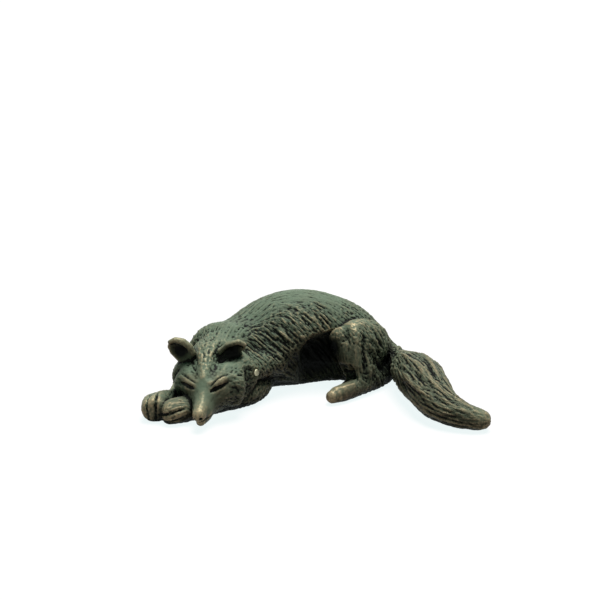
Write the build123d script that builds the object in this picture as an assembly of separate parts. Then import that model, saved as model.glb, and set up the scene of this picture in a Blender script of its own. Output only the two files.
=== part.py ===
"""Lying fox figurine: a small lost-wax bronze, cast in sections that are pinned together.

Millimetres, +Z up. X runs along the fox from its paws to the tip of its tail, -Y is the side that
it looks to, and the origin is on the surface that it lies on, under the middle of its outline.
"""
from build123d import *
from collections import namedtuple
import math
import os

# A ring is one cross-section of a casting: its centre, half its width and half its height.
Ring = namedtuple("Ring", "x y z half_width half_height")

# Body shell: its rings follow the spine from the tail joint to the neck joint
TAIL_JOINT = Ring(x=29.6, y=4.6, z=7.2, half_width=5.0, half_height=4.6)
RUMP_END = Ring(x=26.0, y=8.0, z=6.4, half_width=8.6, half_height=6.4)
RUMP = Ring(x=21.0, y=10.6, z=7.2, half_width=12.0, half_height=8.8)
HIPS = Ring(x=13.0, y=12.4, z=11.2, half_width=14.8, half_height=13.4)
LOIN = Ring(x=3.0, y=12.6, z=14.0, half_width=15.0, half_height=16.6)
RIBS = Ring(x=-8.0, y=10.8, z=15.2, half_width=17.3, half_height=17.8)
FORE_RIBS = Ring(x=-18.0, y=7.4, z=14.2, half_width=16.8, half_height=16.6)
SHOULDERS = Ring(x=-25.6, y=2.6, z=12.6, half_width=15.0, half_height=14.4)
NECK_BASE = Ring(x=-32.0, y=-3.8, z=12.8, half_width=13.6, half_height=13.4)
NECK_JOINT = Ring(x=-35.4, y=-12.0, z=13.2, half_width=12.8, half_height=11.8)
SHELL_WALL = 3.0

# Head: its rings run on from the neck joint to the nose
NAPE = Ring(x=-36.6, y=-17.6, z=12.6, half_width=13.4, half_height=11.2)
CHEEKS = Ring(x=-37.5, y=-22.6, z=11.2, half_width=15.2, half_height=9.9)
BROW = Ring(x=-38.4, y=-27.0, z=10.0, half_width=12.8, half_height=8.7)
EYES = Ring(x=-39.3, y=-31.0, z=8.8, half_width=9.0, half_height=7.2)
MUZZLE_ROOT = Ring(x=-40.0, y=-34.3, z=7.0, half_width=5.3, half_height=5.6)
MUZZLE = Ring(x=-40.7, y=-38.0, z=5.6, half_width=3.6, half_height=4.0)
NOSE = Ring(x=-41.1, y=-41.4, z=5.0, half_width=2.8, half_height=3.0)
NOSE_ROUNDING = 2.1

# Face: its features lie on the head's rings, at turns in degrees to either side of the middle of the face
FACE_TURN = 98.0
EYE_SPREAD = 46.0
EYE_SOCKET_RADIUS = 2.6
EYE_SOCKET_LIFT = 1.1
EYEBALL_RADIUS = 1.7
EYEBALL_SINK = 1.4
BROW_INNER_SPREAD = 22.0
BROW_OUTER_SPREAD = 50.0
BROW_RADIUS = 2.2
BROW_SINK = 1.8
RUFF_SPREADS = (58.0, 84.0, 110.0, 136.0)
RUFF_RADIUS = 2.8
RUFF_SINK = 2.3
BRIDGE_TURN = 92.0
BRIDGE_RADIUS = 1.6
BRIDGE_SINK = 1.2
TUFT_WIDTHS = (3.6, 3.0, 1.0)
TUFT_THICKNESS = 2.6
TUFT_SINK = 0.4

# Tail: its rings run on from the tail joint the other way
TAIL_NECK = Ring(x=32.6, y=-1.5, z=8.2, half_width=7.0, half_height=6.4)
BRUSH_ROOT = Ring(x=35.8, y=-12.0, z=8.4, half_width=8.8, half_height=8.3)
BRUSH = Ring(x=38.8, y=-24.0, z=7.6, half_width=8.4, half_height=7.9)
BRUSH_BEND = Ring(x=42.6, y=-34.0, z=6.0, half_width=7.0, half_height=6.5)
BRUSH_TAPER = Ring(x=48.4, y=-39.4, z=4.8, half_width=5.6, half_height=5.2)
TAIL_END = Ring(x=54.4, y=-41.4, z=3.9, half_width=4.5, half_height=4.1)
TAIL_TIP = Ring(x=58.8, y=-41.4, z=3.3, half_width=3.2, half_height=3.0)
TAIL_ROUNDING = 2.2
# Locks of the brush: ridges round the tail, with grooves between them that grow and fade from the tip
TAIL_LOCKS = 8
LOCK_POINTS = 4
LOCK_DEPTHS = (0.0, 0.4, 0.7, 0.9, 1.0, 0.9, 0.6)
LOCK_TWIST = 9.0

# Ears: a cupped flap each, from a base point in the head to a tip point
EAR_WIDTH = 9.0
EAR_THICKNESS = 4.6
EAR_SHARES = ((0.0, 1.0), (0.45, 1.0), (0.8, 0.8), (1.0, 0.46))
EAR_ROUNDING = 1.4
EAR_CUP_RADIUS = 5.4
EAR_CUP_DEPTH = 2.4
EAR_CUP_HEIGHT = 0.45
LEFT_EAR_BASE = Vector(-35.0, -22.4, 17.2)
LEFT_EAR_TIP = Vector(-27.2, -21.6, 24.0)
LEFT_EAR_FACING = Vector(0.2, -1.0, -0.4)
RIGHT_EAR_BASE = Vector(-46.6, -22.4, 17.0)
RIGHT_EAR_TIP = Vector(-53.6, -21.6, 25.0)
RIGHT_EAR_FACING = Vector(-0.35, -1.0, -0.4)

# Legs: each limb is a list of rings from inside the body to its end
PAW_ROUNDING = 2.6
LEFT_FORELEG = [
    Ring(x=-25.0, y=-3.0, z=5.4, half_width=6.5, half_height=6.0),
    Ring(x=-23.0, y=-11.0, z=4.4, half_width=5.5, half_height=5.0),
    Ring(x=-27.0, y=-17.6, z=4.2, half_width=5.2, half_height=4.8),
    Ring(x=-36.0, y=-24.0, z=4.2, half_width=4.8, half_height=4.8),
    Ring(x=-45.0, y=-31.0, z=4.0, half_width=4.8, half_height=4.6),
    Ring(x=-51.6, y=-34.6, z=3.9, half_width=4.8, half_height=4.4),
    Ring(x=-55.2, y=-35.8, z=3.6, half_width=4.0, half_height=3.8),
]
RIGHT_FORELEG = [
    Ring(x=-38.0, y=0.0, z=6.2, half_width=7.0, half_height=6.4),
    Ring(x=-47.5, y=-6.0, z=4.8, half_width=6.2, half_height=5.6),
    Ring(x=-53.8, y=-17.0, z=4.6, half_width=5.8, half_height=5.2),
    Ring(x=-57.0, y=-28.0, z=4.6, half_width=5.4, half_height=5.1),
    Ring(x=-57.6, y=-36.0, z=4.2, half_width=4.6, half_height=4.6),
]
KNEE_ROUNDING = 2.6
LEFT_THIGH = [
    Ring(x=20.5, y=8.0, z=9.6, half_width=6.8, half_height=7.6),
    Ring(x=16.4, y=2.4, z=14.2, half_width=7.6, half_height=10.4),
    Ring(x=11.6, y=-2.0, z=17.4, half_width=6.4, half_height=9.0),
    Ring(x=8.4, y=-4.4, z=18.6, half_width=4.4, half_height=7.0),
]
LEFT_SHANK = [
    Ring(x=11.0, y=-2.2, z=19.0, half_width=5.2, half_height=5.0),
    Ring(x=12.8, y=-4.4, z=12.0, half_width=5.8, half_height=5.6),
    Ring(x=17.0, y=-4.4, z=4.6, half_width=5.4, half_height=4.8),
]
LEFT_HIND_FOOT = [
    Ring(x=25.0, y=4.5, z=4.2, half_width=3.8, half_height=4.4),
    Ring(x=18.5, y=-2.8, z=4.0, half_width=4.2, half_height=4.4),
    Ring(x=10.5, y=-11.0, z=3.6, half_width=4.2, half_height=4.1),
    Ring(x=5.6, y=-15.8, z=3.4, half_width=3.8, half_height=3.8),
]
RIGHT_THIGH = [
    Ring(x=21.0, y=15.0, z=8.4, half_width=6.6, half_height=7.2),
    Ring(x=15.0, y=21.4, z=10.6, half_width=8.0, half_height=9.6),
    Ring(x=8.0, y=25.4, z=11.6, half_width=6.6, half_height=8.6),
    Ring(x=4.0, y=27.0, z=11.8, half_width=4.6, half_height=6.6),
]
RIGHT_HIND_FOOT = [
    Ring(x=24.0, y=17.0, z=4.2, half_width=3.8, half_height=4.4),
    Ring(x=16.5, y=24.0, z=4.0, half_width=4.2, half_height=4.4),
    Ring(x=8.0, y=29.2, z=3.6, half_width=4.2, half_height=4.1),
    Ring(x=2.6, y=31.2, z=3.4, half_width=3.8, half_height=3.8),
]

# Belly plate: closes the hole in the underside through which the casting core was dug out
PLATE_LENGTH = 36.0
PLATE_WIDTH = 13.0
PLATE_THICKNESS = 1.5
PLATE_LEDGE = 1.5
PLATE_CLEARANCE = 0.05

# Dowels that pin the castings together
DOWEL_DIAMETER = 3.0
DOWEL_SEAT = 4.5
DOWEL_CLEARANCE = 0.02
DOWEL_END_GAP = 0.3
NECK_DOWEL_SPACING = 11.0

# Plugs in the holes that the core pins left in the shell
PLUG_DIAMETER = 2.4
PLUG_DEPTH = 4.2
PLUG_PROUD = 0.5
PLUG_CLEARANCE = 0.02
PLUG_ROUNDING = 0.35
NEAR_PLUG_HEADING = Vector(1.0, 0.08, 0.05)
FAR_PLUG_HEADING = Vector(0.0, 1.0, 0.6)

RING_POINTS = 10
OUTLINE_TOLERANCE = 0.02
FLOOR_DEPTH = 40.0
FLOOR_SIZE = 400.0
UP = Vector(0, 0, 1)


def centre(ring):
    """Centre point of a ring."""
    return Vector(ring.x, ring.y, ring.z)


def ring_planes(rings, up=UP):
    """Planes across a limb, one for each ring, square to the line through the rings beside it."""
    planes = []
    for index, ring in enumerate(rings):
        before = rings[max(index - 1, 0)]
        after = rings[min(index + 1, len(rings) - 1)]
        forward = centre(after) - centre(before)
        planes.append(Plane(origin=centre(ring), x_dir=up.cross(forward), z_dir=forward))
    return planes


def ring_point(plane, half_width, half_height, turn):
    """Point on a ring's outline; the turn in degrees runs from the ring's x axis to its top."""
    angle = math.radians(turn)
    return plane.from_local_coords((half_width * math.cos(angle), half_height * math.sin(angle), 0))


def ring_face(plane, half_width, half_height):
    """Oval face of one ring, inside one closed spline."""
    turns = [360 * step / RING_POINTS for step in range(RING_POINTS)]
    points = [ring_point(plane, half_width, half_height, turn) for turn in turns]
    return make_face(Spline(*points, periodic=True))


def lock_face(plane, half_width, half_height, depth, twist):
    """Face of one ring of the tail, with grooves of that depth between its locks."""
    points = []
    for step in range(TAIL_LOCKS * LOCK_POINTS):
        turn = 360 * step / (TAIL_LOCKS * LOCK_POINTS)
        sink = depth * (1 - math.cos(math.radians(turn * TAIL_LOCKS))) / 2
        points.append(ring_point(plane, half_width - sink, half_height - sink, turn + twist))
    return make_face(Spline(*points, periodic=True))


def lofted(rings, planes, inset=0.0):
    """Solid through rings on their planes, drawn in by the inset."""
    faces = [
        ring_face(plane, ring.half_width - inset, ring.half_height - inset)
        for ring, plane in zip(rings, planes)
    ]
    return loft(faces)


def rounded_end(solid, end, rounding):
    """The solid with the rim of its flat end at that point rounded off."""
    end_face = min(solid.faces(), key=lambda face: (face.center() - end).length)
    return fillet(end_face.edges(), rounding)


def limb(rings, rounding, up=UP):
    """Solid through a limb's rings, with a rounded end."""
    return rounded_end(lofted(rings, ring_planes(rings, up)), centre(rings[-1]), rounding)


def floor():
    """Block under the surface that the figurine lies on."""
    return Pos(0, 0, -FLOOR_DEPTH / 2) * Box(FLOOR_SIZE, FLOOR_SIZE, FLOOR_DEPTH)


def trimmed(shape, *others):
    """Main solid of a casting cut flat at the floor and fitted against other castings."""
    for other in (floor(), *others):
        shape = max((shape - other).solids(), key=lambda solid: solid.volume)
    return shape


def ear(base, tip, facing):
    """Cupped ear from its base to its tip, hollow on the side that it faces."""
    axis = tip - base
    faces = []
    for height, width in EAR_SHARES:
        plane = Plane(origin=base + axis * height, x_dir=facing.cross(axis), z_dir=axis)
        faces.append(ring_face(plane, EAR_WIDTH / 2 * width, EAR_THICKNESS / 2))
    flap = rounded_end(loft(faces), tip, EAR_ROUNDING)
    upright = axis.normalized()
    front = (facing - upright * facing.dot(upright)).normalized()
    cup_offset = EAR_THICKNESS / 2 + EAR_CUP_RADIUS - EAR_CUP_DEPTH
    cup_centre = base + axis * (1 - EAR_CUP_HEIGHT) + front * cup_offset
    return flap - Pos(cup_centre) * Sphere(EAR_CUP_RADIUS)


def bead(points, radius):
    """Round bar along a curve through points, with a ball at either end."""
    curve = Spline(*points)
    bar = sweep(Plane(origin=curve @ 0, z_dir=curve % 0) * Circle(radius), path=curve)
    return bar.fuse(Pos(points[0]) * Sphere(radius), Pos(points[-1]) * Sphere(radius))


def rod(plane, diameter, below, above):
    """Round rod along a plane's normal, from below the plane to above it."""
    upward = (Align.CENTER, Align.CENTER, Align.MIN)
    return plane.offset(-below) * Cylinder(diameter / 2, below + above, align=upward)


def dowel(plane):
    """Dowel across a joint, as deep on either side of its plane."""
    return rod(plane, DOWEL_DIAMETER, DOWEL_SEAT, DOWEL_SEAT)


def dowel_bore(plane):
    """Hole for that dowel."""
    depth = DOWEL_SEAT + DOWEL_END_GAP
    return rod(plane, DOWEL_DIAMETER + 2 * DOWEL_CLEARANCE, depth, depth)


def skin_plane(solid, inside, heading):
    """Plane on a casting's skin where a line that heads out from a point inside it comes through."""
    crossings = []
    for face in solid.faces():
        crossings += [point for point, _ in face.find_intersection_points(Axis(inside, heading))]
    ahead = [point for point in crossings if (point - inside).dot(heading) > 0]
    nearest = min(ahead, key=lambda point: (point - inside).length)
    return Plane(origin=nearest, z_dir=heading)


def plug(plane):
    """Plug through the shell's wall, with a rounded head that stands proud."""
    pin = rod(plane, PLUG_DIAMETER, PLUG_DEPTH, PLUG_PROUD)
    return rounded_end(pin, plane.offset(PLUG_PROUD).origin, PLUG_ROUNDING)


def plug_bore(plane):
    """Hole for that plug."""
    return rod(plane, PLUG_DIAMETER + 2 * PLUG_CLEARANCE, PLUG_DEPTH + DOWEL_END_GAP, PLUG_DEPTH)


def plate_prism(inset, bottom, top):
    """Upright prism over the belly plate's outline, drawn in by the inset."""
    along = centre(FORE_RIBS) - centre(LOIN)
    heading = math.degrees(math.atan2(along.Y, along.X))
    outline = SlotOverall(PLATE_LENGTH - 2 * inset, PLATE_WIDTH - 2 * inset)
    return Pos(RIBS.x, RIBS.y, bottom) * Rot(0, 0, heading) * extrude(outline, top - bottom)


# Spine: the tail, the body and the head share their rings at the joints
tail_rings = [TAIL_TIP, TAIL_END, BRUSH_TAPER, BRUSH_BEND, BRUSH, BRUSH_ROOT, TAIL_NECK, TAIL_JOINT]
body_rings = [
    TAIL_JOINT, RUMP_END, RUMP, HIPS, LOIN, RIBS, FORE_RIBS, SHOULDERS, NECK_BASE, NECK_JOINT,
]
body_core_rings = [RUMP, HIPS, LOIN, RIBS, FORE_RIBS, SHOULDERS]
head_rings = [NECK_JOINT, NAPE, CHEEKS, BROW, EYES, MUZZLE_ROOT, MUZZLE, NOSE]
head_core_rings = [NAPE, CHEEKS, BROW, EYES]
spine_rings = tail_rings + body_rings[1:] + head_rings[1:]
plane_of = dict(zip(spine_rings, ring_planes(spine_rings)))


def along_spine(rings, inset=0.0):
    """Solid through some of the rings along the spine."""
    return lofted(rings, [plane_of[ring] for ring in rings], inset)


def brush():
    """The tail, with its locks; its joint is as plain as the end of the body that it meets."""
    faces = [ring_face(plane_of[TAIL_JOINT], TAIL_JOINT.half_width, TAIL_JOINT.half_height)]
    locked_rings = zip(reversed(tail_rings[:-1]), reversed(LOCK_DEPTHS))
    for index, (ring, depth) in enumerate(locked_rings, start=1):
        twist = index * LOCK_TWIST
        faces.append(lock_face(plane_of[ring], ring.half_width, ring.half_height, depth, twist))
    return rounded_end(loft(faces), centre(TAIL_TIP), TAIL_ROUNDING)


def on_ring(ring, turn, sink):
    """Point at a turn of one of the spine's rings, under its outline by the sink."""
    return ring_point(plane_of[ring], ring.half_width - sink, ring.half_height - sink, turn)


def tuft():
    """Raised patch on the forehead, which narrows from the nape to the eyes."""
    faces = []
    for ring, half_width in zip((NAPE, BROW, EYES), TUFT_WIDTHS):
        plane = plane_of[ring].shift_origin(on_ring(ring, FACE_TURN, TUFT_SINK))
        faces.append(ring_face(plane, half_width, TUFT_THICKNESS / 2))
    return loft(faces)


def faced(head):
    """The head with its eyes, brows, ruffs, forehead tuft and the bridge of its nose."""
    for side in (-1, 1):
        eye_turn = FACE_TURN + side * EYE_SPREAD
        head -= Pos(on_ring(EYES, eye_turn, -EYE_SOCKET_LIFT)) * Sphere(EYE_SOCKET_RADIUS)
        head += Pos(on_ring(EYES, eye_turn, EYEBALL_SINK)) * Sphere(EYEBALL_RADIUS)
        brow_inner = on_ring(EYES, FACE_TURN + side * BROW_INNER_SPREAD, BROW_SINK)
        brow_outer = on_ring(BROW, FACE_TURN + side * BROW_OUTER_SPREAD, BROW_SINK)
        head += bead([brow_inner, brow_outer], BROW_RADIUS)
        ruff = [on_ring(BROW, FACE_TURN + side * spread, RUFF_SINK) for spread in RUFF_SPREADS]
        head += bead(ruff, RUFF_RADIUS)
    bridge = [on_ring(ring, BRIDGE_TURN, BRIDGE_SINK) for ring in (MUZZLE_ROOT, MUZZLE, NOSE)]
    head += bead(bridge, BRIDGE_RADIUS)
    return head + tuft()


body_solid = trimmed(along_spine(body_rings))
body_core = along_spine(body_core_rings, inset=SHELL_WALL) - Pos(0, 0, SHELL_WALL) * floor()
head_solid = trimmed(faced(rounded_end(along_spine(head_rings), centre(NOSE), NOSE_ROUNDING)))
head_core = along_spine(head_core_rings, inset=SHELL_WALL)
tail_solid = trimmed(brush())

# Limbs and ears are fitted against the body, the head and the tail
left_ear = trimmed(ear(LEFT_EAR_BASE, LEFT_EAR_TIP, LEFT_EAR_FACING), head_solid, body_solid)
right_ear = trimmed(ear(RIGHT_EAR_BASE, RIGHT_EAR_TIP, RIGHT_EAR_FACING), head_solid, body_solid)
right_fore_solid = trimmed(limb(RIGHT_FORELEG, PAW_ROUNDING), body_solid, head_solid)
left_fore_solid = trimmed(limb(LEFT_FORELEG, PAW_ROUNDING), body_solid, head_solid, right_fore_solid)
left_shank = limb(LEFT_SHANK, PAW_ROUNDING, up=Vector(0, -1, 0))
left_hind = limb(LEFT_THIGH, KNEE_ROUNDING) + left_shank + limb(LEFT_HIND_FOOT, PAW_ROUNDING)
left_hind_solid = trimmed(left_hind, body_solid, tail_solid)
right_hind = limb(RIGHT_THIGH, KNEE_ROUNDING) + limb(RIGHT_HIND_FOOT, PAW_ROUNDING)
right_hind_solid = trimmed(right_hind, body_solid, tail_solid)

# Joints: two dowels in the neck and one in the tail and in each leg
neck_plane = plane_of[NECK_JOINT]
neck_planes = [
    neck_plane.shift_origin(neck_plane.from_local_coords((side * NECK_DOWEL_SPACING / 2, 0, 0)))
    for side in (-1, 1)
]
tail_plane = plane_of[TAIL_JOINT]
leg_planes = [
    skin_plane(body_solid, centre(rings[0]), centre(rings[1]) - centre(rings[0]))
    for rings in (LEFT_FORELEG, RIGHT_FORELEG, LEFT_THIGH, RIGHT_THIGH)
]
left_fore_plane, right_fore_plane, left_hind_plane, right_hind_plane = leg_planes

# Core pins: one through the head, behind the left cheek, and two through the far side of the body
head_middle = (centre(NAPE) + centre(CHEEKS)) * 0.5
head_plug_plane = skin_plane(head_solid, head_middle, NEAR_PLUG_HEADING)
body_plug_planes = [skin_plane(body_solid, centre(ring), FAR_PLUG_HEADING) for ring in (FORE_RIBS, LOIN)]

body_cuts = [body_core, plate_prism(0, 0, PLATE_THICKNESS), plate_prism(PLATE_LEDGE, 0, SHELL_WALL)]
body_cuts += [dowel_bore(plane) for plane in neck_planes + [tail_plane] + leg_planes]
body_cuts += [plug_bore(plane) for plane in body_plug_planes]
head_cuts = [head_core, plug_bore(head_plug_plane)]
head_cuts += [dowel_bore(plane) for plane in neck_planes]


def hollowed(solid, cuts):
    """Casting with its core and its holes cut out one after another."""
    for cut in cuts:
        solid = solid - cut
    return solid


nodes = {
    "body_shell": hollowed(body_solid, body_cuts),
    "belly_plate": plate_prism(PLATE_CLEARANCE, 0, PLATE_THICKNESS),
    "head": hollowed(head_solid, head_cuts),
    "left_ear": left_ear,
    "right_ear": right_ear,
    "left_foreleg": left_fore_solid - dowel_bore(left_fore_plane),
    "right_foreleg": right_fore_solid - dowel_bore(right_fore_plane),
    "left_hind_leg": left_hind_solid - dowel_bore(left_hind_plane),
    "right_hind_leg": right_hind_solid - dowel_bore(right_hind_plane),
    "tail": tail_solid - dowel_bore(tail_plane),
    "neck_dowels": Compound([dowel(plane) for plane in neck_planes]),
    "tail_dowel": dowel(tail_plane),
    "foreleg_dowels": Compound([dowel(left_fore_plane), dowel(right_fore_plane)]),
    "hind_leg_dowels": Compound([dowel(left_hind_plane), dowel(right_hind_plane)]),
    "core_pin_plugs": Compound([plug(plane) for plane in [head_plug_plane] + body_plug_planes]),
}

# The parts are written with the origin under the middle of the whole outline
points = [point for node in nodes.values() for point in node.tessellate(OUTLINE_TOLERANCE)[0]]
middle_x = (min(point.X for point in points) + max(point.X for point in points)) / 2
middle_y = (min(point.Y for point in points) + max(point.Y for point in points)) / 2
to_origin = Pos(-middle_x, -middle_y, 0)
os.makedirs("parts", exist_ok=True)
for name, node in nodes.items():
    export_step(to_origin * node, f"parts/{name}.step")
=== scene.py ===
import math
from collections import namedtuple

import bpy
import numpy as np
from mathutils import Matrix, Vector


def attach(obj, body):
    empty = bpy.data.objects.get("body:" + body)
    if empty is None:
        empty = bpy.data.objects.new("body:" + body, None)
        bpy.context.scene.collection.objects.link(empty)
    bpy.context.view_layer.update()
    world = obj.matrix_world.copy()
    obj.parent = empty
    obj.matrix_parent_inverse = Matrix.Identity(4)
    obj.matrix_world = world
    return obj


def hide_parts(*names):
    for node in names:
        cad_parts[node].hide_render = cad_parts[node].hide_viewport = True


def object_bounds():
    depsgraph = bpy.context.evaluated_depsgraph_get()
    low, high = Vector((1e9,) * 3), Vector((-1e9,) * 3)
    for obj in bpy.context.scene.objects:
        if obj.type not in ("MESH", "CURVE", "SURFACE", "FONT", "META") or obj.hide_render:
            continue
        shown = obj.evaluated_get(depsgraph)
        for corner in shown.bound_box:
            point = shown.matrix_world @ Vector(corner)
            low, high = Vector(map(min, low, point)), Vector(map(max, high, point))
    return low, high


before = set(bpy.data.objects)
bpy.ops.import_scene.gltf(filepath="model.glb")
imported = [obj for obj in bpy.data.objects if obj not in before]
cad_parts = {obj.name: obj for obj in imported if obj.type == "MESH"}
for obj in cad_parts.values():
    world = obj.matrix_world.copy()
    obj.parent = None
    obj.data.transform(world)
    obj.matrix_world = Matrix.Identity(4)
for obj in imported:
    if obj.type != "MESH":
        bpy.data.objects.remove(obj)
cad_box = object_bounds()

import openvdb
from mathutils import Vector

# Lengths are in millimetres until a mesh is made, in the frame of the figurine: +Z up, -Y towards the viewer.
MM = 0.001
SEED = 11

# The clay is a grid of distances to the skin, in which the figurine is modelled before it becomes meshes.
CLAY_STEP = 0.33
CLAY_BAND = 4.0
CLAY_MARGIN = 3.0
# Share that a cell takes over from each of its two neighbours in one round of smoothing
SMOOTHING = 0.25
# The slope of the clay is taken between cells this far to either side
SLOPE_REACH = 2
# Steps in which a point is brought to the skin
SKIN_STEPS = 5
# Smallest length that is divided by
TINY = 1e-9

# Castings whose joints run straight on, and the pieces inside that close their hollows
SPINE = ["body_shell", "head", "tail"]
DOWELS = ["neck_dowels", "tail_dowel", "foreleg_dowels", "hind_leg_dowels"]
STOPPERS = ["belly_plate"] + DOWELS + ["core_pin_plugs"]
# Castings that are set onto the spine, each with how far the corner round it is filled when it is chased
LIMBS = {
    "right_hind_leg": 2.0,
    "left_hind_leg": 1.4,
    "right_foreleg": 1.6,
    "left_foreleg": 1.0,
}
LIMB_SOFTENING = 5
# Points and radii of the cuts in a limb: over and beside the far forearm, and over the near hind foot
LIMB_CUTS = {
    "right_foreleg": [
        (
            [(-49.0, -9.0, 11.5), (-54.0, -15.0, 12.0), (-57.5, -20.0, 13.0), (-60.5, -27.0, 12.6)],
            [6.6, 6.2, 5.2, 4.6],
        ),
        (
            [(-58.5, 2.0, 5.0), (-60.0, -8.0, 5.0), (-62.0, -15.0, 6.5), (-64.0, -20.0, 9.0)],
            [8.5, 8.2, 7.4, 5.4],
        ),
    ],
    "left_hind_leg": [
        ([(2.0, -7.0, 7.6), (8.5, -5.0, 7.6), (12.5, -3.0, 8.2)], [4.6, 4.4, 3.6]),
    ],
}
CASTINGS = SPINE + list(LIMBS) + ["left_ear", "right_ear"]
# Room round the plate and the plugs, which are let into the castings
PLATE_ROOM = 0.12
PLUG_ROOM = 0.25
PLUG_RADIUS = 1.2
PLUG_DEPTH = 2.4
# From a plug's place in the CAD to where its seat is sought on the modelled skin
PLUG_SHIFT = (0.6, -1.6, 0.8)


def add_node(tree, kind, inputs=None, **settings):
    """Adds a node with its settings; each input is a value, or the socket or node that feeds it."""
    node = tree.nodes.new(kind)
    for name, value in settings.items():
        setattr(node, name, value)
    for name, value in (inputs or {}).items():
        if isinstance(value, bpy.types.Node):
            value = value.outputs[0]
        if isinstance(value, bpy.types.NodeSocket):
            tree.links.new(value, node.inputs[name])
        else:
            node.inputs[name].default_value = value
    return node


def new_material(name):
    """A material, and its node tree with nothing in it."""
    material = bpy.data.materials.new(name)
    material.use_nodes = True
    material.node_tree.nodes.clear()
    return material, material.node_tree


def linear(hex_colour):
    """Linear colour of an sRGB hex value."""
    channels = [int(hex_colour[start:start + 2], 16) / 255 for start in (1, 3, 5)]
    return [c / 12.92 if c <= 0.04045 else ((c + 0.055) / 1.055) ** 2.4 for c in channels] + [1.0]


# Clay

def node_triangles(names):
    """Points in millimetres and triangles of some CAD nodes taken together."""
    points, triangles = [], []
    count = 0
    for name in names:
        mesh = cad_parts[name].data
        mesh.calc_loop_triangles()
        corners = np.empty(len(mesh.vertices) * 3, np.float32)
        mesh.vertices.foreach_get("co", corners)
        faces = np.empty(len(mesh.loop_triangles) * 3, np.int32)
        mesh.loop_triangles.foreach_get("vertices", faces)
        points.append(corners.reshape(-1, 3) / MM)
        triangles.append(faces.reshape(-1, 3) + count)
        count += len(mesh.vertices)
    return np.concatenate(points).astype(np.float32), np.concatenate(triangles).astype(np.uint32)


def level_set(points, **faces):
    """Sparse grid of signed distances to a skin of triangles or quads."""
    return openvdb.FloatGrid.createLevelSetFromPolygons(
        points,
        transform=openvdb.createLinearTransform(CLAY_STEP),
        halfWidth=CLAY_BAND / CLAY_STEP,
        **faces,
    )


def node_level_set(names):
    """Sparse grid of signed distances to some CAD nodes taken together."""
    points, triangles = node_triangles(names)
    return level_set(points, triangles=triangles)


def solid_level_set(names):
    """Sparse grid of signed distances to the outer skin of some CAD nodes, as if they were one solid."""
    points, quads = node_level_set(names).convertToQuads(0.0)
    return level_set(points, quads=quads)


clay_low = np.floor((np.array(cad_box[0]) / MM - CLAY_MARGIN) / CLAY_STEP).astype(int)
clay_high = np.ceil((np.array(cad_box[1]) / MM + CLAY_MARGIN) / CLAY_STEP).astype(int)
clay_start = tuple(int(index) for index in clay_low)
grid_lines = [np.arange(low, high, dtype=np.float32) * CLAY_STEP for low, high in zip(clay_low, clay_high)]


def dense(grid):
    """Values of a sparse grid over the whole of the clay's grid."""
    values = np.empty(tuple(clay_high - clay_low), np.float32)
    grid.copyToArray(values, ijk=clay_start)
    return values


def joined(first, second, blend):
    """Distances to two shapes as one, with the corner between them filled over a blend width."""
    if blend == 0:
        return np.minimum(first, second)
    overlap = np.maximum(blend - np.abs(first - second), 0) / blend
    return np.minimum(first, second) - overlap * overlap * blend / 4


def cut_away(first, second, blend):
    """Distances to the first shape with the second cut out of it, its edge softened over a blend width."""
    return -joined(-first, second, blend)


def window(low, high):
    """Slices of the clay's grid that cover a box, and the grid's coordinates there."""
    slices = []
    for axis in range(3):
        start = int(np.searchsorted(grid_lines[axis], low[axis]))
        stop = int(np.searchsorted(grid_lines[axis], high[axis]))
        slices.append(slice(start, max(stop, start + 1)))
    x, y, z = [line[part] for line, part in zip(grid_lines, slices)]
    return tuple(slices), (x[:, None, None], y[None, :, None], z[None, None, :])


def roll(points, radii, thin=(0, 0, 0)):
    """A roll of clay: distances to a chain of round bars through points, with a radius at each point.

    The thin vector points the way that the bars are flattened, and is longer the flatter they are.
    """
    points = [np.array(point, np.float32) for point in points]
    reach = max(radii) + CLAY_BAND
    slices, (x, y, z) = window(np.min(points, axis=0) - reach, np.max(points, axis=0) + reach)
    nearest = None
    for start, end, first, last in zip(points, points[1:], radii, radii[1:]):
        along = end - start
        share = (x - start[0]) * along[0] + (y - start[1]) * along[1] + (z - start[2]) * along[2]
        share = np.clip(share / float(along @ along), 0, 1)
        offsets = [
            line - origin - share * step
            for line, origin, step in zip((x, y, z), start, along)
        ]
        pressed = sum(offset * press for offset, press in zip(offsets, thin))
        gap = np.sqrt(sum(offset ** 2 for offset in offsets) + pressed ** 2)
        gap = gap - (first + share * (last - first))
        nearest = gap if nearest is None else np.minimum(nearest, gap)
    return slices, nearest


def add(clay, shape, blend):
    """Presses a shape onto the clay."""
    slices, distances = shape
    clay[slices] = joined(clay[slices], distances, blend)


def carve(clay, shape, blend):
    """Cuts a shape out of the clay."""
    slices, distances = shape
    clay[slices] = cut_away(clay[slices], distances, blend)


def on_skin(clay, point, lift):
    """Point of the clay's skin nearest to a point, lifted off it by so much."""
    spot = np.array(point, float)
    reach = SLOPE_REACH
    for _ in range(SKIN_STEPS):
        cell = np.rint(spot / CLAY_STEP).astype(int) - clay_low
        x, y, z = np.clip(cell, reach, np.array(clay.shape) - 1 - reach)
        rise = np.array([
            clay[x + reach, y, z] - clay[x - reach, y, z],
            clay[x, y + reach, z] - clay[x, y - reach, z],
            clay[x, y, z + reach] - clay[x, y, z - reach],
        ])
        rise /= max(np.linalg.norm(rise), TINY)
        on_cell = (cell + clay_low) * CLAY_STEP
        gap = clay[x, y, z] + (spot - on_cell) @ rise
        spot = spot - (gap - lift) * rise
    return spot


def soften(clay, rounds):
    """Rounds the edges of the clay, a little more with each round."""
    for _ in range(rounds):
        for axis in range(3):
            layers = np.moveaxis(clay, axis, 0)
            layers[1:-1] += (layers[:-2] + layers[2:] - 2 * layers[1:-1]) * SMOOTHING


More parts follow.
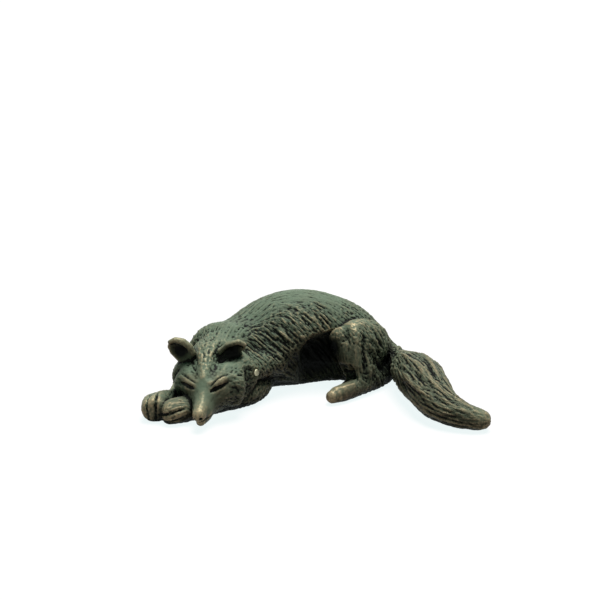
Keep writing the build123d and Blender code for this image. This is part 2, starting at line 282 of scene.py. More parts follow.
def outward(clay, point):
    """Direction straight out of the clay at a point of its skin."""
    away = on_skin(clay, point, lift=1.0) - on_skin(clay, point, lift=-1.0)
    return away / np.linalg.norm(away)


def skin_roll(clay, points, radii, lift):
    """A roll of clay along the skin nearest to some points, its middle lifted off the skin by so much."""
    return roll([on_skin(clay, point, lift) for point in points], radii)


# Modelling

# Middle of the head between the cheeks, and the ways forward and to the fox's left from there
HEAD = np.array((-35.73, -16.84, 0.0))
HEAD_FORWARD = np.array((-0.1886, -0.9821, 0.0))
HEAD_LEFT = np.array((-HEAD_FORWARD[1], HEAD_FORWARD[0], 0.0))


def face(forward, left, up):
    """Point of the head, from how far it is in front of the cheeks and to the fox's left, and its height."""
    return HEAD + forward * HEAD_FORWARD + left * HEAD_LEFT + (0, 0, up)


# Parts of the clay that are softened before they are modelled, and by how much
HEAD_BOX = ((-54.0, -46.0, -2.0), (-14.0, 4.0, 28.0))
HEAD_SOFTENING = 12
TAIL_BOX = ((26.0, -44.0, -2.0), (63.0, 10.0, 24.0))
TAIL_SOFTENING = 24


def mirrored(points, side):
    """Points of the head on one side of its middle: 1 for the fox's left, -1 for its right."""
    return [face(forward, left * side, up) for forward, left, up in points]


def model_muzzle(clay):
    """Flattens the muzzle on both sides of its bridge, and gives it a nose, a chin, a mouth and nostrils."""
    flat = [(12.0, 4.4, 10.6), (16.0, 3.6, 8.4), (21.0, 3.0, 6.4)]
    bridge = [face(12.0, -0.2, 10.6), face(16.0, -0.2, 8.2), face(20.6, -0.3, 6.0)]
    chin = [face(14.0, -0.2, 3.4), face(18.8, -0.2, 2.9)]
    mouth = [(20.6, 0.6, 3.9), (18.0, 2.9, 3.9), (11.5, 5.8, 5.4)]
    for side in (-1, 1):
        carve(clay, skin_roll(clay, mirrored(flat, side), [4.0, 4.0, 4.0], lift=3.75), blend=0.6)
    add(clay, roll(bridge, [1.5, 2.0, 2.3]), blend=1.8)
    add(clay, roll(chin, [2.6, 1.6]), blend=1.0)
    for side in (-1, 1):
        carve(clay, skin_roll(clay, mirrored(mouth, side), [0.3, 0.4, 0.3], lift=0.0), blend=0.3)
    for left, radius in ((-1.5, 0.4), (0.7, 0.6)):
        nostril = [face(23.6, left, 5.2), face(22.0, left, 5.2)]
        carve(clay, roll(nostril, [radius, radius]), blend=0.2)


def model_nape(clay):
    """Fills the dip between the head and the shoulders."""
    add(clay, roll([(-38.0, -13.5, 15.6), (-32.0, -3.0, 19.4)], [6.4, 6.8]), blend=3.0)


def model_forehead(clay):
    """Sinks a valley on either side of the tuft between the ears."""
    for lines in (
        [(-3.0, 3.0, 22.0), (4.5, 2.4, 19.0), (10.0, 1.8, 15.8)],
        [(-4.0, -8.4, 20.6), (4.5, -6.0, 18.8), (10.0, -4.0, 15.8)],
    ):
        valley = [face(*point) for point in lines]
        carve(clay, skin_roll(clay, valley, [2.4, 2.4, 1.6], lift=1.6), blend=1.6)


def model_eyes(clay):
    """Lays a heavy lid over each half-shut eye, with a crease above it and the slit below.

    The head leans, so the two eyes differ. Each has a crease, a lid with its radii and a slit with its radii.
    """
    eyes = [
        (
            [(12.6, 2.0, 13.6), (11.0, 3.8, 15.9), (9.4, 5.6, 17.1), (8.2, 7.2, 17.2)],
            [(12.8, 2.6, 13.0), (11.9, 3.6, 14.0), (10.8, 4.9, 15.0), (9.6, 6.2, 15.6), (8.6, 7.2, 15.8)],
            [0.5, 1.3, 1.6, 1.4, 0.6],
            [(13.0, 2.2, 12.0), (12.3, 3.3, 12.5), (11.2, 4.7, 13.0), (10.0, 6.0, 13.5), (8.8, 7.2, 14.0)],
            [0.6, 0.9, 0.8, 0.6, 0.3],
        ),
        (
            [(12.4, -3.8, 14.6), (10.4, -6.6, 15.4), (8.0, -9.2, 15.6), (6.4, -10.6, 15.4)],
            [(12.4, -4.4, 13.7), (11.6, -5.5, 13.8), (10.3, -7.2, 13.9), (9.0, -8.6, 14.0),
             (7.6, -9.8, 14.0)],
            [0.4, 0.8, 0.9, 0.8, 0.4],
            [(12.6, -4.2, 12.4), (11.6, -5.8, 12.4), (10.2, -7.4, 12.4), (8.6, -9.0, 12.4),
             (7.0, -10.2, 12.4)],
            [0.5, 0.8, 0.8, 0.6, 0.3],
        ),
    ]
    for crease, lid, lid_radii, slit, slit_radii in eyes:
        crease, lid, slit = [[face(*point) for point in line] for line in (crease, lid, slit)]
        crease_shape = skin_roll(clay, crease, [0.3, 0.45, 0.45, 0.3], lift=0.1)
        lid_shape = skin_roll(clay, lid, lid_radii, lift=-0.6)
        slit_shape = skin_roll(clay, slit, slit_radii, lift=0.0)
        add(clay, lid_shape, blend=0.5)
        carve(clay, crease_shape, blend=0.3)
        carve(clay, slit_shape, blend=0.2)


def model_cheeks(clay):
    """Cuts in behind the left cheek and fills the neck there, and cuts a groove behind the right cheek."""
    notch = [(-18.4, -20.6, 21.0), (-18.6, -21.4, 10.0), (-19.8, -22.0, 2.0)]
    neck = [(-25.8, -12.8, 13.4), (-14.5, -2.5, 12.0)]
    groove = [face(3.6, -11.4, 15.6), face(2.4, -13.8, 12.0), face(2.4, -13.4, 7.0), face(2.0, -11.2, 4.4)]
    carve(clay, roll(notch, [6.4, 6.4, 6.0]), blend=1.2)
    add(clay, roll(neck, [4.6, 3.8]), blend=4.0)
    carve(clay, skin_roll(clay, groove, [0.8, 1.2, 1.2, 0.8], lift=0.5), blend=0.8)


# Radii of an ear's plate from its root to its tip, and the way that it is flattened
EAR_PLATE_RADII = [3.4, 3.6, 2.6]
EAR_PLATE_THIN = (0.0, -1.6, -0.5)


def model_ears(clay):
    """Draws out each ear as a plate with a rim, thick on top and thin below, and hollows a cup inside that.

    Each ear has its plate, its rim, the rim's radii and its cup.
    """
    ears = [
        (
            [(-32.2, -15.7, 19.2), (-29.0, -15.5, 22.0), (-27.2, -15.4, 23.0)],
            [(-34.6, -17.0, 19.4), (-33.2, -17.2, 21.8), (-30.4, -17.3, 24.0), (-26.9, -17.2, 25.2),
             (-24.9, -16.8, 24.2), (-24.7, -16.4, 22.2), (-26.0, -16.0, 19.4)],
            [1.1, 1.3, 1.4, 1.3, 1.0, 0.6, 0.5],
            [(-32.4, -19.2, 20.2), (-29.6, -18.8, 21.2), (-27.2, -18.2, 21.8)],
        ),
        (
            [(-45.6, -15.7, 19.6), (-48.0, -15.6, 22.4), (-49.4, -15.6, 23.2)],
            [(-43.0, -17.0, 21.4), (-44.2, -17.2, 23.8), (-46.2, -17.3, 25.4), (-49.0, -17.3, 26.0),
             (-50.7, -17.3, 25.4), (-51.2, -17.2, 23.8), (-50.4, -17.0, 21.4), (-48.6, -16.8, 19.0)],
            [1.1, 1.3, 1.4, 1.3, 1.0, 0.6, 0.5, 0.5],
            [(-45.4, -19.2, 19.8), (-47.8, -18.6, 21.4), (-49.2, -18.4, 22.4)],
        ),
    ]
    for plate, rim, radii, cup in ears:
        add(clay, roll(plate, EAR_PLATE_RADII, thin=EAR_PLATE_THIN), blend=0.8)
        add(clay, roll(rim, radii), blend=1.0)
        carve(clay, roll(cup, [1.2, 2.0, 2.0]), blend=3.0)


def model_flank(clay):
    """Hollows the flank between the ribs and the thigh, under an overhanging edge."""
    carve(clay, roll([(-8.0, -6.5, 8.0), (1.0, 0.8, 12.5)], [2.2, 6.2]), blend=5.0)
    carve(clay, roll([(1.5, 1.5, 14.4), (8.0, 4.0, 15.2)], [6.4, 7.0]), blend=0.8)
    carve(clay, roll([(-8.0, -7.5, 3.0), (0.5, 1.2, 5.0), (10.0, 3.0, 6.0)], [2.4, 6.4, 7.0]), blend=3.0)


def model_haunch(clay):
    """Gives the near thigh a knee, a flat front and a step behind that, undercut above a slim foot."""
    flattened = 1.6 * np.array((-0.27, -0.93, 0.25))
    knee = [(10.2, 2.6, 19.0), (13.2, 0.2, 12.4)]
    undercut = [(3.0, -1.0, 9.4), (10.0, -2.2, 9.0), (16.0, -4.6, 7.6)]
    front_cut = [(2.0, -13.0, 9.6), (9.0, -8.0, 9.4), (15.0, -5.6, 8.8)]
    step = [(17.8, -0.5, 21.0), (17.8, -3.0, 15.0), (18.6, -4.5, 9.0)]
    edge = [(15.2, 0.0, 22.8), (15.3, -2.6, 17.2), (15.7, -4.2, 12.0), (16.8, -5.5, 6.5)]
    foot = [(14.0, -4.6, 3.2), (8.0, -10.4, 3.0), (6.4, -11.8, 2.7)]
    add(clay, roll(knee, [5.0, 3.8], thin=flattened), blend=1.0)
    carve(clay, roll(undercut, [4.6, 2.5, 0.8]), blend=0.4)
    carve(clay, roll(front_cut, [4.4, 4.0, 2.6]), blend=0.6)
    carve(clay, skin_roll(clay, step, [1.4, 1.8, 1.6], lift=0.9), blend=0.6)
    add(clay, skin_roll(clay, edge, [1.2, 1.2, 1.0, 0.8], lift=-0.8), blend=1.6)
    add(clay, roll(foot, [3.1, 2.9, 2.4]), blend=0.8)


def model_paws(clay):
    """Parts the toes of the far forepaw, and draws grooves along the near one."""
    for across, width in ((-58.4, 0.35), (-55.4, 0.5)):
        groove = [
            (across + 0.6, -24.5, 9.5), (across, -29.0, 7.5), (across, -30.4, 4.0), (across, -30.2, 0.0),
        ]
        carve(clay, skin_roll(clay, groove, [0.3, width, width, width], lift=0.1), blend=0.5)
    for height in (0.4, 3.2):
        groove = [(-45.5, -32.0, height + 3.0), (-50.5, -32.6, height + 1.4), (-54.4, -31.2, height)]
        carve(clay, skin_roll(clay, groove, [0.3, 0.5, 0.5], lift=0.1), blend=0.5)


def plug_seats(clay):
    """Where each core-pin plug meets the skin of the clay, and the direction out of it there."""
    points = node_triangles(["core_pin_plugs"])[0]
    far = points[:, 1] > 0
    back = points[:, 0] > points[far, 0].mean()
    seats = []
    for members in (~far, far & back, far & ~back):
        seat = on_skin(clay, points[members].mean(axis=0) + PLUG_SHIFT, lift=0.0)
        seats.append((seat, outward(clay, seat)))
    return seats


def modelled_clay():
    """Clay of all the castings, chased into one, modelled and flat underneath, and the seats of the plugs."""
    clay = dense(solid_level_set(SPINE + STOPPERS))
    soften(clay[window(*HEAD_BOX)[0]], HEAD_SOFTENING)
    soften(clay[window(*TAIL_BOX)[0]], TAIL_SOFTENING)
    model_nape(clay)
    model_forehead(clay)
    model_muzzle(clay)
    model_eyes(clay)
    model_cheeks(clay)
    model_flank(clay)
    model_ears(clay)
    for name, blend in LIMBS.items():
        limb = dense(node_level_set([name]))
        soften(limb, LIMB_SOFTENING)
        for points, radii in LIMB_CUTS.get(name, []):
            carve(limb, roll(points, radii), blend=1.0)
        clay = joined(clay, limb, blend)
    model_haunch(clay)
    model_paws(clay)
    clay = cut_away(clay, dense(node_level_set(["belly_plate"])) - PLATE_ROOM, blend=0)
    seats = plug_seats(clay)
    for seat, out in seats:
        bore = [seat - out * PLUG_DEPTH, seat + out * PLUG_DEPTH]
        carve(clay, roll(bore, [PLUG_RADIUS + PLUG_ROOM] * 2), blend=0)
    return np.maximum(clay, -grid_lines[2][None, None, :]), seats


def clay_mesh(clay):
    """Points in millimetres and outward quads of the clay's skin."""
    skin = openvdb.FloatGrid(CLAY_BAND)
    skin.transform = openvdb.createLinearTransform(CLAY_STEP)
    skin.copyFromArray(np.clip(clay, -CLAY_BAND, CLAY_BAND), ijk=clay_start)
    points, quads = skin.convertToQuads(0.0)
    points = points.astype(np.float64)
    quads = quads.astype(np.int64)
    first, second, third = [points[quads[:, corner]] for corner in (0, 1, 2)]
    volume = np.einsum("ij,ij->", first, np.cross(second, third))
    return points, quads if volume > 0 else quads[:, ::-1]


def point_normals(points, quads):
    """Outward directions at the points of a quad mesh."""
    diagonals = points[quads[:, 2]] - points[quads[:, 0]], points[quads[:, 3]] - points[quads[:, 1]]
    across = np.cross(*diagonals)
    normals = np.zeros_like(points)
    for axis in range(3):
        for corner in range(4):
            normals[:, axis] += np.bincount(quads[:, corner], weights=across[:, axis], minlength=len(points))
    return normals / np.maximum(np.linalg.norm(normals, axis=1), TINY)[:, None]


# Fur

# A comb says how the fur lies near a point: the way it runs, how deep its locks, strokes and stipple are
# there in millimetres, how brown the patina is, and how much the ridges wear bare and carry painted
# highlights, from 0 to 1.
Comb = namedtuple("Comb", "at run lock stroke stipple brown worn")
COMB_VALUES = Comb._fields[2:]
# Over this distance one comb gives way to the next, and close to a comb the change is softened.
COMB_REACH = 8.0
COMB_SOFTNESS = 0.02
COMBS = [
    # Back and rump
    Comb((-30, -4, 25), (0.3, 0.9, 0.2), 0.05, 0.16, 0.05, 0.10, 0.1),
    Comb((-22, 7, 29), (0.7, 0.6, 0.2), 0.06, 0.14, 0.03, 0.10, 0.4),
    Comb((-8, 15, 33), (1.0, 0.1, 0.0), 0.04, 0.13, 0.03, 0.10, 0.1),
    Comb((5, 17, 31), (1.0, -0.1, -0.2), 0.04, 0.13, 0.03, 0.15, 0.1),
    Comb((16, 15, 23), (0.8, -0.1, -0.5), 0.10, 0.18, 0.12, 0.20, 0.2),
    Comb((25, 12, 14), (0.7, -0.2, -0.6), 0.35, 0.20, 0.20, 0.30, 0.2),
    Comb((24, 4, 9), (0.6, 0.1, -0.8), 0.40, 0.18, 0.18, 0.25, 0.1),
    # Near flank
    Comb((-22, -8, 18), (0.6, 0.0, -0.8), 0.12, 0.26, 0.06, 0.10, 0.6),
    Comb((-16, -2, 22), (0.7, -0.2, -0.6), 0.20, 0.32, 0.05, 0.20, 0.6),
    Comb((-6, 1, 24), (0.7, -0.3, -0.6), 0.15, 0.28, 0.06, 0.30, 0.6),
    Comb((3, 3, 26), (0.7, -0.3, -0.6), 0.15, 0.24, 0.08, 0.30, 0.7),
    Comb((-14, -4, 10), (0.7, 0.0, -0.7), 0.15, 0.34, 0.05, 0.40, 0.3),
    Comb((-4, 0, 12), (0.7, 0.0, -0.7), 0.15, 0.30, 0.05, 0.40, 0.2),
    # Far flank
    Comb((-24, 22, 14), (0.7, 0.3, -0.6), 0.20, 0.34, 0.05, 0.25, 0.3),
    Comb((-10, 32, 16), (0.7, 0.2, -0.7), 0.20, 0.36, 0.05, 0.30, 0.4),
    Comb((2, 31, 20), (0.7, 0.3, -0.6), 0.20, 0.32, 0.05, 0.30, 0.4),
    Comb((-40, 4, 16), (0.2, 0.9, -0.4), 0.10, 0.28, 0.10, 0.15, 0.2),
    # Hind legs
    Comb((8, -2, 22), (0.2, -0.1, -1.0), 0.05, 0.12, 0.06, 0.75, 0.9),
    Comb((13, -3, 15), (0.1, 0.0, -1.0), 0.05, 0.14, 0.04, 0.60, 0.4),
    Comb((17, 0, 22), (0.7, -0.2, -0.7), 0.15, 0.18, 0.10, 0.40, 0.5),
    Comb((18, -4, 8), (0.1, 0.0, -1.0), 0.15, 0.14, 0.10, 0.50, 0.3),
    Comb((9, -8, 5), (-0.6, -0.7, 0.0), 0.00, 0.03, 0.02, 0.80, 0.7),
    Comb((14, 35, 14), (0.4, 0.2, -0.9), 0.10, 0.18, 0.06, 0.45, 0.4),
    Comb((5, 37, 14), (0.2, 0.1, -1.0), 0.05, 0.12, 0.06, 0.70, 0.8),
    Comb((7, 37, 4), (-0.8, 0.4, 0.0), 0.00, 0.03, 0.02, 0.80, 0.6),
    # Top edge of the thigh: bare bronze and a painted highlight where it catches the light
    Comb((13, 3, 24.5), (0.7, -0.2, -0.4), 0.05, 0.10, 0.04, 0.30, 1.0),
    # Tail
    Comb((33, 6, 12), (0.3, -0.9, 0.1), 0.30, 0.20, 0.12, 0.35, 0.4),
    Comb((37, -6, 15), (0.3, -1.0, 0.0), 0.25, 0.34, 0.04, 0.45, 0.5),
    Comb((41, -18, 13), (0.3, -1.0, -0.1), 0.25, 0.34, 0.04, 0.50, 0.5),
    Comb((45, -28, 10), (0.6, -0.8, -0.1), 0.25, 0.32, 0.04, 0.55, 0.5),
    Comb((51, -34, 7), (0.9, -0.4, -0.1), 0.20, 0.26, 0.04, 0.60, 0.5),
    Comb((59, -36, 5), (1.0, 0.0, -0.1), 0.08, 0.10, 0.04, 0.65, 0.6),
    # Head
    Comb((-39, -11, 22), (0.1, 1.0, 0.2), 0.00, 0.12, 0.10, 0.20, 0.5),
    Comb((-38, -19, 19), (0.1, 1.0, 0.3), 0.00, 0.14, 0.10, 0.30, 0.8),
    Comb((-43, -19, 17), (-0.3, 1.0, 0.3), 0.00, 0.06, 0.04, 0.05, 0.1),
    Comb((-32, -19, 18), (0.5, 0.8, 0.2), 0.00, 0.06, 0.04, 0.05, 0.1),
    Comb((-26, -18, 12), (0.7, 0.5, -0.5), 0.05, 0.18, 0.14, 0.10, 0.3),
    Comb((-29, -24, 6), (0.7, 0.6, -0.4), 0.22, 0.22, 0.10, 0.10, 0.3),
    Comb((-48, -20, 10), (-0.7, 0.7, -0.2), 0.05, 0.16, 0.08, 0.10, 0.2),
    Comb((-38, -28, 12), (0.0, 1.0, 0.3), 0.00, 0.03, 0.02, 0.15, 0.8),
    Comb((-39, -34, 8), (0.0, 1.0, 0.3), 0.00, 0.02, 0.02, 0.45, 0.8),
    Comb((-27, -13, 22), (0.1, 0.2, 1.0), 0.00, 0.03, 0.03, 0.40, 0.6),
    Comb((-48, -14, 22), (-0.2, 0.2, 1.0), 0.00, 0.03, 0.03, 0.40, 0.6),
    Comb((-33.0, -28.8, 14.2), (0.6, 0.5, 0.4), 0.00, 0.02, 0.03, 0.80, 0.4),
    Comb((-44.0, -26.4, 13.4), (-0.6, 0.5, 0.1), 0.00, 0.02, 0.03, 0.80, 0.4),
    Comb((-28.5, -23.5, 11.0), (0.7, 0.5, -0.5), 0.10, 0.20, 0.10, 0.05, 0.3),
    # Forelegs
    Comb((-22, -9, 6), (-0.4, -0.7, -0.6), 0.05, 0.14, 0.12, 0.60, 0.4),
    Comb((-30, -19, 4), (-0.7, -0.6, 0.0), 0.05, 0.14, 0.12, 0.60, 0.4),
    Comb((-48, -31, 5), (-0.9, -0.1, -0.3), 0.05, 0.20, 0.02, 0.55, 0.7),
    Comb((-54, -31, 5), (-0.8, -0.5, -0.3), 0.00, 0.10, 0.02, 0.60, 0.7),
    Comb((-54, -14, 8), (-0.2, -1.0, 0.0), 0.05, 0.16, 0.04, 0.35, 0.3),
    Comb((-57, -29, 7), (-0.1, -1.0, -0.4), 0.00, 0.08, 0.04, 0.45, 0.8),
]


def combed(points, normals):
    """Way the fur runs along the skin at each point, and the other values of the combs there, by name."""
    nearness = np.zeros(len(points))
    run = np.zeros((len(points), 3))
    values = np.zeros((len(points), len(COMB_VALUES)))
    for comb in COMBS:
        gap = np.sum((points - comb.at) ** 2, axis=1)
        weight = 1 / (gap / COMB_REACH ** 2 + COMB_SOFTNESS) ** 2
        nearness += weight
        run += weight[:, None] * np.array(comb.run)
        values += weight[:, None] * np.array(comb[2:])
    run -= np.sum(run * normals, axis=1)[:, None] * normals
    run /= np.maximum(np.linalg.norm(run, axis=1), TINY)[:, None]
    return run, dict(zip(COMB_VALUES, (values / nearness[:, None]).T))


# Spacing and length in millimetres of the fur's locks, of the strokes in them and of the stipple
FUR_LAYERS = {"Lock": (2.6, 9.0), "Stroke": (0.85, 11.0), "Stipple": (0.8, 0.8)}
# Samples along a lock or stroke, over which the noise is smeared
FUR_SAMPLES = 17
# Levels of the smeared noise at the bottom and at the top of the fur
FUR_LEVELS = {"From Min": 0.40, "From Max": 0.60, "To Min": -1.0, "To Max": 1.0}
# Step from the noise of one layer to that of the next
LAYER_STEP = 7.3


def fur_layer(tree, start, number, layer):
    """Node of the height of one layer of fur: noise that is smeared along the run."""
    spacing = start.outputs[layer + " Spacing"]
    length = start.outputs[layer + " Length"]
    place = add_node(tree, "GeometryNodeInputPosition")
    run = add_node(tree, "GeometryNodeInputNamedAttribute", {"Name": "run"}, data_type="FLOAT_VECTOR")
    depth = add_node(tree, "GeometryNodeInputNamedAttribute", {"Name": layer.lower()}, data_type="FLOAT")
    repeat = add_node(tree, "GeometryNodeRepeatInput")
    total = add_node(tree, "GeometryNodeRepeatOutput")
    repeat.pair_with_output(total)
    total.repeat_items.clear()
    total.repeat_items.new("FLOAT", "Total")
    repeat.inputs["Iterations"].default_value = FUR_SAMPLES
    steps = {0: repeat.outputs["Iteration"], 1: 1 / (FUR_SAMPLES - 1), 2: -0.5}
    share = add_node(tree, "ShaderNodeMath", steps, operation="MULTIPLY_ADD")
    along = add_node(tree, "ShaderNodeMath", {0: share, 1: length}, operation="MULTIPLY")
    offset = add_node(tree, "ShaderNodeVectorMath", {0: run, "Scale": along}, operation="SCALE")
    there = add_node(tree, "ShaderNodeVectorMath", {0: place, 1: offset}, operation="ADD")
    scale = add_node(tree, "ShaderNodeMath", {0: 1.0, 1: spacing}, operation="DIVIDE")
    seed = SEED + LAYER_STEP * number
    pattern = {"Vector": there, "W": seed, "Scale": scale, "Detail": 0.0}
    grain = add_node(tree, "ShaderNodeTexNoise", pattern, noise_dimensions="4D")
    sum_so_far = add_node(tree, "ShaderNodeMath", {0: repeat.outputs["Total"], 1: grain}, operation="ADD")
    tree.links.new(sum_so_far.outputs[0], total.inputs["Total"])
    mean = {0: total.outputs["Total"], 1: 1 / FUR_SAMPLES}
    level = add_node(tree, "ShaderNodeMath", mean, operation="MULTIPLY")
    levels = {"Value": level, **FUR_LEVELS}
    shaped = add_node(tree, "ShaderNodeMapRange", levels, interpolation_type="SMOOTHSTEP")
    return add_node(tree, "ShaderNodeMath", {0: shaped, 1: depth}, operation="MULTIPLY")


def fur_tree(material):
    """Geometry nodes that raise fur on a skin in three layers, which lie as the combs say."""
    tree = bpy.data.node_groups.new("fur", "GeometryNodeTree")
    tree.is_modifier = True
    tree.interface.new_socket("Geometry", in_out="INPUT", socket_type="NodeSocketGeometry")
    for layer, (spacing, length) in FUR_LAYERS.items():
        for name, size in ((layer + " Spacing", spacing), (layer + " Length", length)):
            socket = tree.interface.new_socket(name, in_out="INPUT", socket_type="NodeSocketFloat")
            socket.default_value = size * MM
    tree.interface.new_socket("Geometry", in_out="OUTPUT", socket_type="NodeSocketGeometry")
    start = add_node(tree, "NodeGroupInput")
    normal = add_node(tree, "GeometryNodeInputNormal")
    height = 0.0
    for number, layer in enumerate(FUR_LAYERS):
        raised = fur_layer(tree, start, number, layer)
        height = add_node(tree, "ShaderNodeMath", {0: height, 1: raised}, operation="ADD")
    offset = add_node(tree, "ShaderNodeVectorMath", {0: normal, "Scale": height}, operation="SCALE")
    skin = start.outputs["Geometry"]
    moved = add_node(tree, "GeometryNodeSetPosition", {"Geometry": skin, "Offset": offset})
    realized = add_node(tree, "GeometryNodeRealizeInstances", {"Geometry": moved})
    finished = add_node(tree, "GeometryNodeSetMaterial", {"Geometry": realized, "Material": material})
    add_node(tree, "NodeGroupOutput", {"Geometry": finished})
    return tree


def new_mesh(name, points, loops, sizes):
    """Mesh from points in millimetres and its faces' corners in a row, with the size of each face."""
    mesh = bpy.data.meshes.new(name)
    mesh.vertices.add(len(points))
    mesh.vertices.foreach_set("co", np.asarray(points * MM, np.float32).ravel())
    mesh.loops.add(len(loops))
    mesh.loops.foreach_set("vertex_index", np.asarray(loops, np.int32))
    mesh.polygons.add(len(sizes))
    starts = np.concatenate([[0], np.cumsum(sizes)[:-1]])
    mesh.polygons.foreach_set("loop_start", np.asarray(starts, np.int32))
    mesh.polygons.foreach_set("use_smooth", np.ones(len(sizes), bool))
    mesh.update(calc_edges=True)
    return mesh


def give_values(mesh, name, values):
    """Lets a mesh carry a number or a vector at each of its points."""
    flat = np.ascontiguousarray(values, np.float32).ravel()
    if values.ndim == 1:
        mesh.attributes.new(name, "FLOAT", "POINT").data.foreach_set("value", flat)
    else:
        mesh.attributes.new(name, "FLOAT_VECTOR", "POINT").data.foreach_set("vector", flat)


def furred(points, quads, normals, material):
    """Points of the skin once its fur is raised, the way that the fur runs, and the combs' values there."""
    run, values = combed(points, normals)
    mesh = new_mesh("skin", points, quads.ravel(), np.full(len(quads), 4))
    give_values(mesh, "run", run)
    for layer in FUR_LAYERS:
        give_values(mesh, layer.lower(), values[layer.lower()] * MM)
    skin = bpy.data.objects.new("skin", mesh)
    bpy.context.scene.collection.objects.link(skin)
    modifier = skin.modifiers.new("fur", "NODES")
    modifier.node_group = fur_tree(material)
    evaluated = skin.evaluated_get(bpy.context.evaluated_depsgraph_get())
    baked = bpy.data.meshes.new_from_object(evaluated)
    moved = np.empty(len(baked.vertices) * 3, np.float32)
    baked.vertices.foreach_get("co", moved)
    bpy.data.objects.remove(skin)
    bpy.data.meshes.remove(baked)
    return moved.reshape(-1, 3).astype(np.float64) / MM, run, values


def mean_of_neighbours(values, first, second, count):
    """Mean of each point's neighbours, along the edges from first to second."""
    total = np.zeros_like(values)
    for axis in range(values.shape[1]):
        total[:, axis] += np.bincount(first, weights=values[second, axis], minlength=len(values))
        total[:, axis] += np.bincount(second, weights=values[first, axis], minlength=len(values))
    return total / count[:, None]


def relief(points, quads, normals, rounds):
    """How far each point stands out of the skin round it, in millimetres; more rounds look further."""
    edges = np.concatenate([quads[:, [corner, (corner + 1) % 4]] for corner in range(4)])
    edges = np.unique(np.sort(edges, axis=1), axis=0)
    first, second = edges.T
    count = np.bincount(first, minlength=len(points)) + np.bincount(second, minlength=len(points))
    count = np.maximum(count, 1)
    smooth = points
    for _ in range(rounds):
        smooth = mean_of_neighbours(smooth, first, second, count)
    return np.sum((points - smooth) * normals, axis=1)


# Hollows painted nearly black as painted shade, where the patina also stays dark, and how far the painted
# shade reaches
PAINTED_SHADE_HOLLOWS = [
    ((2.0, 4.0, 11.0), 13.0),
    ((7.0, 3.0, 16.5), 6.0),
    ((9.5, -3.0, 6.5), 5.0),
    ((-29.2, -17.0, 21.6), 4.6),
    ((-47.4, -17.0, 22.0), 3.6),
    ((-53.4, -27.0, 6.0), 3.0),
]
# Shelter is worked out on every fourth cell of the clay, with rounds of smoothing that look further round.
SHELTER_CELL = 4
SHELTER_ROUNDS = 16
SHELTER_PAD = 8
# Shelter of a flat skin, and how much more than that makes the painted shade all dark
FLAT_SHELTER = 0.5
DARK_SHELTER = 0.18


def shelter(clay, points):
    """Share of bronze and floor round each point: half on a flat skin, and more in a hollow."""
    solid = (clay[::SHELTER_CELL, ::SHELTER_CELL, ::SHELTER_CELL] < 0).astype(np.float32)
    solid[:, :, grid_lines[2][::SHELTER_CELL] < 0] = 1
    solid = np.pad(solid, SHELTER_PAD, constant_values=0)
    solid[:, :, :SHELTER_PAD] = 1
    for _ in range(SHELTER_ROUNDS):
        for axis in range(3):
            solid += (np.roll(solid, 1, axis) + np.roll(solid, -1, axis) - 2 * solid) * SMOOTHING
    cells = np.rint((points / CLAY_STEP - clay_low) / SHELTER_CELL).astype(int) + SHELTER_PAD
    return solid[cells[:, 0], cells[:, 1], cells[:, 2]]


def shade(clay, points):
    """How much painted shade each point gets, from 0 to 1, in hollows and sheltered places, where the patina
    also stays dark.
    """
    dark = np.clip((shelter(clay, points) - FLAT_SHELTER) / DARK_SHELTER, 0, 1)
    for middle, reach in PAINTED_SHADE_HOLLOWS:
        gap = np.linalg.norm(points - middle, axis=1)
        dark = np.maximum(dark, np.clip(2 - 2 * gap / reach, 0, 1))
    return dark


# Materials

# The patina on open skin; painted shade, nearly black, for the sheltered places and the dips; and the bare
# bronze where rubbing wears the patina through, which also paints highlights on the ridges
GREEN_PATINA = "#788872"
BROWN_PATINA = "#726c56"
PAINTED_SHADE = "#070a08"
SUNK_PAINTED_SHADE = "#080b08"
RUBBED_BRONZE_AND_HIGHLIGHT = "#c4a982"
# Clouds in which the patina pooled: their size, how far they change its brown, and a shift towards green
CLOUD_SIZE = 5.0
CLOUD_SPREAD = 0.8
CLOUD_SHIFT = -0.5
# Specks of the casting's skin: their size and their depth
SPECK_SIZE = 0.7
SPECK_DEPTH = 0.12
# Hairs that the modelling tool drew along the fur: their width and depth, and the steps along them
HAIR_WIDTH = 0.45
HAIR_DEPTH = 0.2
HAIR_STEP = 0.6
HAIR_STEPS = 5
# Levels of the smeared noise at the bottom and at the top of a hair
HAIR_LEVELS = (0.41, 0.59)
# Depths of the fur's strokes where the hairs begin, and where they are drawn in full
HAIR_STROKES = (0.03, 0.30)
# Share of painted shade in the grooves between the drawn hairs
HAIR_DARKNESS = 0.8


def drawn_hairs(tree, place):
    """Nodes of how much the modelling tool drew its hairs at a place, and of how high the skin is there."""
    run = add_node(tree, "ShaderNodeAttribute", attribute_name="run").outputs["Vector"]
    stroke = add_node(tree, "ShaderNodeAttribute", attribute_name="stroke").outputs["Fac"]
    hairs = 0.0
    for step in range(-HAIR_STEPS, HAIR_STEPS + 1):
        length = step * HAIR_STEP * MM
        along = add_node(tree, "ShaderNodeVectorMath", {0: run, "Scale": length}, operation="SCALE")
        there = add_node(tree, "ShaderNodeVectorMath", {0: place, 1: along}, operation="ADD")
        pattern = {"Vector": there, "Scale": 1 / (HAIR_WIDTH * MM), "Detail": 0.0}
        hair = add_node(tree, "ShaderNodeTexNoise", pattern)
        hairs = add_node(tree, "ShaderNodeMath", {0: hairs, 1: hair}, operation="ADD")
    low, high = [(2 * HAIR_STEPS + 1) * level for level in HAIR_LEVELS]
    ridge = add_node(tree, "ShaderNodeMapRange", {"Value": hairs, "From Min": low, "From Max": high})
    low, high = HAIR_STROKES
    drawn = add_node(tree, "ShaderNodeMapRange", {"Value": stroke, "From Min": low, "From Max": high})
    return drawn, add_node(tree, "ShaderNodeMath", {0: ridge, 1: drawn}, operation="MULTIPLY")


